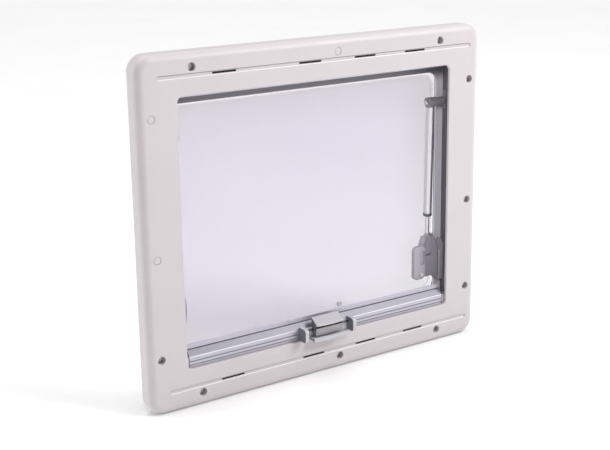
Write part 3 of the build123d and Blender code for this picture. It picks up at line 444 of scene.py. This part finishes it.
def cloth(name, color, pitch, gap_alpha=None):
    """Plain weave of a given thread pitch; a net lets light through its gaps."""
    mat, tree, shader = new_finish(name)
    vector = coords(tree)
    weave = calculate(tree, "MAXIMUM", threads(tree, vector, pitch, "X"), threads(tree, vector, pitch, "Z"))
    shades = tint(tree, noise(tree, vector, CLOTH_MOTTLE), shade(color, CLOTH_DIM), color)
    feed(tree, shader, shades, remap(tree, noise(tree, vector, CLOTH_GLOSS), *CLOTH_ROUGH))
    emboss(tree, shader, weave, CLOTH_RELIEF)
    if gap_alpha is not None:
        tree.links.new(remap(tree, weave, gap_alpha, 1.0, NET_THREAD), shader.inputs["Alpha"])
    return mat


def frame_with_painted_groove_light(name):
    """Frame moulding with painted shade on the upper wall and a painted highlight on the lower wall of each
    of its two grooves.
    """
    mat = plastic(name, FRAME_COLOR, FRAME_ROUGH, FRAME_SPREAD)
    for z in (GROOVE_Z, -GROOVE_Z):
        paint_place(mat, {**GROOVE_RUN, "Z": (z + GROOVE_HALF, GROOVE_EDGE)}, GROOVE_PAINTED_SHADE)
        paint_place(mat, {**GROOVE_RUN, "Z": (z - GROOVE_HALF, GROOVE_EDGE)}, GROOVE_PAINTED_HIGHLIGHT)
    return mat


def web_with_painted_shade(name):
    """Grey moulding with a painted shadow that deepens towards the top of its web, and painted shade on the
    walls beside the web.
    """
    mat = plastic(name, OUTER_COLOR, OUTER_ROUGH)
    paint_place(mat, WEB_FACE, WEB_PAINTED_SHADOW, WEB_SHADOW_FADE)
    for side in (-1, 1):
        paint_place(mat, {**SLEEVE_WALL, "X": (side * SLEEVE_X, SLEEVE_SKIN)}, SLEEVE_PAINTED_SHADE)
    return mat


def bar_with_painted_light(name):
    """Anodised extrusion with painted shade on its slope, a painted highlight on its ridge and painted
    shade along its line and grooves.
    """
    mat = metal(name, BAR_COLOR, BAR_ROUGH, DRAWN_ALONG_X, BAR_METALLIC)
    paint_place(mat, {"Z": BAR_SLOPE}, SLOPE_PAINTED_SHADE)
    paint_place(mat, {"Z": BAR_RIDGE}, RIDGE_PAINTED_HIGHLIGHT)
    paint_place(mat, {"Z": BAR_LINE}, LINE_PAINTED_SHADE)
    for groove in BAR_GROOVES:
        paint_place(mat, {"Z": groove}, BAR_GROOVE_PAINTED_SHADE)
    return mat


def catch_moulding(name):
    """Light moulding with slate sides and a back plate painted pale, as painted light on a plate that sits
    in shade.
    """
    mat = plastic(name, CATCH_COLOR, CATCH_ROUGH)
    paint_place(mat, {"Y": CATCH_PLATE}, PLATE_PAINTED_LIGHT)
    paint_sides(mat, SLATE)
    return mat


def catch_grip(name):
    """Moulding of the handle, with slate sides, painted shade on the finger face and a black painted shadow
    in the undercut above it.
    """
    mat = plastic(name, CATCH_COLOR, CATCH_ROUGH)
    paint_place(mat, {"Z": HANDLE_FACE}, FINGER_PAINTED_SHADE)
    paint_place(mat, {"Z": HANDLE_UNDERCUT}, UNDERCUT_PAINTED_SHADOW)
    paint_sides(mat, SLATE)
    return mat


# Each finish by name: its kind, colour and roughness, and what else that kind needs
FINISHES = {
    "frame_white": (plastic, FRAME_COLOR, FRAME_ROUGH, FRAME_SPREAD),
    "frame_lined": (frame_with_painted_groove_light,),
    "outer_grey": (plastic, OUTER_COLOR, OUTER_ROUGH),
    "web_grey": (web_with_painted_shade,),
    "seal_rubber": (rubber, (0.03, 0.03, 0.033)),
    "acrylic": (acrylic, (0.24, 0.15, 0.38), 0.13),
    "latch_grey": (plastic, (0.315, 0.297, 0.34), 0.42),
    "clear_plug": (plastic, (0.72, 0.72, 0.75), 0.18),
    "arm_grey": (plastic, (0.20, 0.19, 0.21), 0.45),
    "stay_metal": (metal, (0.64, 0.63, 0.68), 0.30, DRAWN_ALONG_Z, STAY_METALLIC),
    "dark_plastic": (plastic, (0.10, 0.095, 0.105), 0.45),
    "bar_aluminium": (metal, BAR_COLOR, BAR_ROUGH, DRAWN_ALONG_X, BAR_METALLIC),
    "catch_grey": (catch_moulding,),
    "steel": (metal, (0.62, 0.61, 0.60), 0.32, EVEN_GRAIN),
    "blackout_fabric": (cloth, (0.72, 0.71, 0.69), 0.7 * MM),
    "screen_net": (cloth, (0.10, 0.10, 0.11), 1.4 * MM, 0.04),
    # Dark sheets behind the vent slots, as painted shade
    "vent_black": (cloth, (0.02, 0.02, 0.022), 0.6 * MM),
    "bar_grooved": (bar_with_painted_light,),
    "catch_grip": (catch_grip,),
    "black_steel": (metal, (0.10, 0.10, 0.105), 0.4, EVEN_GRAIN),
}
MATERIALS = {name: make(name, *values) for name, (make, *values) in FINISHES.items()}

# Nodes whose finish differs from that of their material slot
OWN_FINISH = {
    # The frame, web, bar and handle finishes carry painted shade and painted highlight
    "inner_frame": "frame_lined",
    "outer_frame": "web_grey",
    "blackout_bar": "bar_grooved",
    "catch_handle": "catch_grip",
    "catch_pin": "black_steel",
}


def smooth(obj):
    """Shade a mesh smoothly."""
    obj.data.polygons.foreach_set("use_smooth", [True] * len(obj.data.polygons))


def soften(obj, width):
    """Weld the split corners of a solid and round its sharp edges a little."""
    weld = obj.modifiers.new("weld", "WELD")
    weld.merge_threshold = WELD_GAP
    bevel = obj.modifiers.new("soft_edges", "BEVEL")
    bevel.width = width
    bevel.segments = EDGE_STEPS
    bevel.limit_method = "ANGLE"
    bevel.angle_limit = EDGE_ANGLE
    bevel.harden_normals = False
    normal = obj.modifiers.new("even_normals", "WEIGHTED_NORMAL")
    normal.keep_sharp = False


def dress_nodes():
    """Give every solid its material and its soft edges."""
    for part in PARTS:
        obj = NODES[part["node"]]
        obj.data.materials.clear()
        obj.data.materials.append(MATERIALS[OWN_FINISH.get(part["node"], part["material_slot"])])
        smooth(obj)
        soften(obj, EDGE_SOFT_METAL if part["material_slot"] in METAL_SLOTS else EDGE_SOFT)


def mesh_piece(name, bm, material):
    """Turn a bmesh into a scene object with a material."""
    mesh = bpy.data.meshes.new(name)
    bmesh.ops.recalc_face_normals(bm, faces=bm.faces)
    bm.to_mesh(mesh)
    bm.free()
    obj = bpy.data.objects.new(name, mesh)
    bpy.context.scene.collection.objects.link(obj)
    obj.data.materials.append(material)
    return obj


def round_angles(sides, offset=0.0):
    """Angles of evenly spaced points round a circle, offset by a share of a step."""
    return [FULL_TURN * (i + offset) / sides for i in range(sides)]


def circle(x, z, r, y, angles):
    """Points of a circle round an axis along Y."""
    return [(x + r * math.cos(a), y, z + r * math.sin(a)) for a in angles]


def skin(bm, lines, ring=False):
    """Quads between neighbouring lines of points; a ring joins each line's end to its start."""
    rows = [[bm.verts.new(point) for point in line] for line in lines]
    for near, far in zip(rows, rows[1:]):
        for i in range(len(near) if ring else len(near) - 1):
            j = (i + 1) % len(near)
            bm.faces.new((near[i], near[j], far[j], far[i]))
    return rows


def closed_skin(bm, lines):
    """Rings of points skinned into a solid with a face at each end."""
    rows = skin(bm, lines, ring=True)
    bm.faces.new(rows[0])
    bm.faces.new(rows[-1])


def cross_depth(u, v):
    """Depth of a cross recess at a point of a screw head, with drafted walls and a rising floor."""
    slim = min(abs(u), abs(v))
    long = max(abs(u), abs(v))
    inside = min(CROSS_HALF - slim, CROSS_REACH - long) / CROSS_WALL
    return CROSS_DEPTH * max(0.0, min(1.0, inside)) * (1 - CROSS_RISE * long / CROSS_REACH)


def head_ring(x, z, share, turn, angles):
    """Ring of a screw's domed head, at a share of the dome's radius, sunk where the cross recess is."""
    r = HEAD_DOME_R * share
    dome_y = SCREW_TOP_Y + HEAD_DOME_H * share ** 2
    ring = []
    for a in angles:
        sunk = cross_depth(r * math.cos(a - turn), r * math.sin(a - turn))
        ring.append((x + r * math.cos(a), dome_y + sunk, z + r * math.sin(a)))
    return ring


def thread_ring(x, z, y, angles):
    """Ring of a screw's threaded shank."""
    ring = []
    for a in angles:
        phase = (y / SCREW_PITCH + a / FULL_TURN) % 1.0
        r = SCREW_CORE_R + (SCREW_THREAD_R - SCREW_CORE_R) * (1 - abs(2 * phase - 1)) ** 2
        ring.append((x + r * math.cos(a), y, z + r * math.sin(a)))
    return ring


def screw_rings(x, z, turn):
    """Rings of a pan-head screw: domed head with a cross recess, rim, then a threaded shank."""
    angles = round_angles(SCREW_SIDES)
    rings = [head_ring(x, z, (i + 1) / HEAD_RINGS, turn, angles) for i in range(HEAD_RINGS)]
    rings += [circle(x, z, r, y, angles) for r, y in HEAD_RIM]
    shank = SCREW_TIP_Y - SCREW_SEAT_Y
    rows = int(shank / (SCREW_PITCH / RINGS_PER_PITCH))
    rings += [thread_ring(x, z, SCREW_SEAT_Y + shank * i / rows, angles) for i in range(rows + 1)]
    return rings


def add_screws():
    """Frame screws with cross recesses, each turned a little differently."""
    bm = bmesh.new()
    for i, (x, z) in enumerate(SCREWS):
        closed_skin(bm, screw_rings(x, z, SCREW_TURN * i))
    obj = mesh_piece("pan_head_screws", bm, MATERIALS["steel"])
    smooth(obj)
    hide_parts("frame_screws")
    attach(obj, "frame")


def add_caps():
    """Cover caps with a bevelled rim and a low crown."""
    bm = bmesh.new()
    angles = round_angles(CAP_SIDES)
    for x, z in CAPPED:
        closed_skin(bm, [circle(x, z, r, y, angles) for r, y in CAP_OUTLINE])
    obj = mesh_piece("cover_caps", bm, MATERIALS["frame_white"])
    smooth(obj)
    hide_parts("screw_caps")
    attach(obj, "frame")


def vent_shade_ring(x, z, y):
    """Outline of a strip with round ends."""
    ring = []
    for a in round_angles(VENT_SHADE_SIDES, 0.5):
        end = math.copysign(VENT_SHADE_HALF_X - VENT_SHADE_HALF_Z, math.cos(a))
        ring.append((x + end + VENT_SHADE_HALF_Z * math.cos(a), y, z + VENT_SHADE_HALF_Z * math.sin(a)))
    return ring


def add_vent_shade():
    """Dark woven sheets behind the vent slots, as painted shade inside them."""
    bm = bmesh.new()
    for z in (VENT_Z, -VENT_Z):
        for x in VENT_XS:
            closed_skin(bm, [vent_shade_ring(x, z, y) for y in VENT_SHADE_YS])
    obj = mesh_piece("vent_painted_shade", bm, MATERIALS["vent_black"])
    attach(obj, "frame")


def add_cloth(name, blind, finish):
    """Taut cloth from its roller to its pull bar, with a faint ripple."""
    y = blind["plane"]
    z0 = blind["axis"][1]
    z1 = blind["attach"]
    xs = [CLOTH_HALF * (2 * j / CLOTH_COLUMNS - 1) for j in range(CLOTH_COLUMNS + 1)]
    lines = []
    for i in range(CLOTH_ROWS + 1):
        share = i / CLOTH_ROWS
        sway = RIPPLE * math.sin(math.pi * share)
        lines.append([(x, y + sway * math.sin(RIPPLES * x), z0 + (z1 - z0) * share) for x in xs])
    bm = bmesh.new()
    skin(bm, lines)
    obj = mesh_piece(name + "_strip", bm, MATERIALS[finish])
    smooth(obj)
    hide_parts(name + "_cloth")
    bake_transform(obj)


def add_roll(name, blind, finish):
    """Cloth wound on its roller as one spiral that ends where the taut strip begins."""
    axis_y, axis_z = blind["axis"]
    outer = axis_y - blind["plane"] - CLOTH_T
    turns = int((outer - ROLL_CORE_R) / blind["pitch"])
    lines = []
    for i in range(turns * ROLL_STEPS + 1):
        a = FULL_TURN * (i / ROLL_STEPS - turns)
        r = outer + blind["pitch"] * a / FULL_TURN
        y = axis_y - r * math.cos(a)
        z = axis_z + blind["up"] * r * math.sin(a)
        lines.append([(x, y, z) for x in (-CLOTH_HALF, 0, CLOTH_HALF)])
    bm = bmesh.new()
    skin(bm, lines)
    obj = mesh_piece(name + "_winding", bm, MATERIALS[finish])
    smooth(obj)
    thick = obj.modifiers.new("thickness", "SOLIDIFY")
    thick.thickness = CLOTH_T
    thick.offset = -1
    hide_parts(name + "_roll")
    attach(obj, name + "_roller")


def add_blinds():
    """Both blinds' cloths."""
    add_cloth("blackout", BLACKOUT, "blackout_fabric")
    add_roll("blackout", BLACKOUT, "blackout_fabric")
    add_cloth("flyscreen", FLYSCREEN, "screen_net")
    add_roll("flyscreen", FLYSCREEN, "screen_net")


def add_stage():
    """Pale floor under the window."""
    mat, tree, shader = new_finish("floor")
    mottle = noise(tree, coords(tree), FLOOR_MOTTLE)
    tree.links.new(tint(tree, mottle, *FLOOR_SHADES), shader.inputs["Base Color"])
    shader.inputs["Roughness"].default_value = FLOOR_ROUGH
    shader.inputs["Emission Color"].default_value = WHITE
    shader.inputs["Emission Strength"].default_value = FLOOR_GLOW
    bm = bmesh.new()
    bmesh.ops.create_grid(bm, x_segments=1, y_segments=1, size=FLOOR_SIZE)
    floor = mesh_piece("floor", bm, mat)
    floor.location.z = FLOOR_Z


def aim(lamp, direction):
    """Put a lamp into the scene, shining along a direction."""
    lamp.rotation_euler = Vector(direction).to_track_quat("-Z", "Y").to_euler()
    bpy.context.scene.collection.objects.link(lamp)


def add_sun(name, shines_from, strength):
    """Wide soft sun."""
    data = bpy.data.lights.new(name, "SUN")
    data.angle = SUN_SPREAD
    data.energy = strength
    aim(bpy.data.objects.new(name, data), -Vector(shines_from))


def add_box(name, at, size, power):
    """Soft box lamp that shines at the middle of the window."""
    data = bpy.data.lights.new(name, "AREA")
    data.shape = "RECTANGLE"
    data.size = size
    data.size_y = size
    data.energy = power
    lamp = bpy.data.objects.new(name, data)
    lamp.location = at
    aim(lamp, -Vector(at))
    return lamp


def limit_reach(lamp, slots):
    """Let a lamp light only the solids of some material slots."""
    reach = bpy.data.collections.new(lamp.name + "_reach")
    for part in PARTS:
        if part["material_slot"] in slots:
            reach.objects.link(NODES[part["node"]])
    lamp.light_linking.receiver_collection = reach


def add_world():
    """White surroundings that look brighter than the light they give."""
    world = bpy.data.worlds.new("studio")
    world.use_nodes = True
    tree = world.node_tree
    background = tree.nodes["Background"]
    background.inputs["Color"].default_value = WHITE
    seen = tree.nodes.new("ShaderNodeLightPath").outputs["Is Camera Ray"]
    tree.links.new(remap(tree, seen, WORLD_LIGHT, BACKDROP, (0.0, 1.0)), background.inputs["Strength"])
    bpy.context.scene.world = world
    bpy.context.scene.view_settings.view_transform = "Standard"


def add_lamps():
    """Key on the right, suns from behind and above, and a fill for the recess."""
    add_sun("rim", RIM_FROM, RIM_STRENGTH)
    add_sun("top", TOP_FROM, TOP_STRENGTH)
    add_box("key", KEY_AT, KEY_SIZE, KEY_POWER)
    limit_reach(add_box("fill", FILL_AT, FILL_SIZE, FILL_POWER), FILL_SLOTS)


def add_camera():
    """Camera at the photograph's angle, with a lens shift that lowers its view."""
    data = bpy.data.cameras.new("camera")
    data.sensor_width = SENSOR
    data.lens = FOCAL_PX * SENSOR / IMAGE_W
    data.shift_y = -VIEW_DROP_PX / IMAGE_W
    camera = bpy.data.objects.new("camera", data)
    camera.location = CAMERA_AT
    turn = Matrix.Rotation(math.radians(-CAMERA_YAW), 3, "Z")
    tilt = Matrix.Rotation(math.radians(90 - CAMERA_PITCH), 3, "X")
    roll = Matrix.Rotation(math.radians(CAMERA_ROLL), 3, "Z")
    camera.rotation_euler = (turn @ tilt @ roll).to_euler()
    bpy.context.scene.collection.objects.link(camera)
    bpy.context.scene.camera = camera


dress_nodes()
add_screws()
add_caps()
add_vent_shade()
add_blinds()
add_stage()
add_world()
add_lamps()
add_camera()
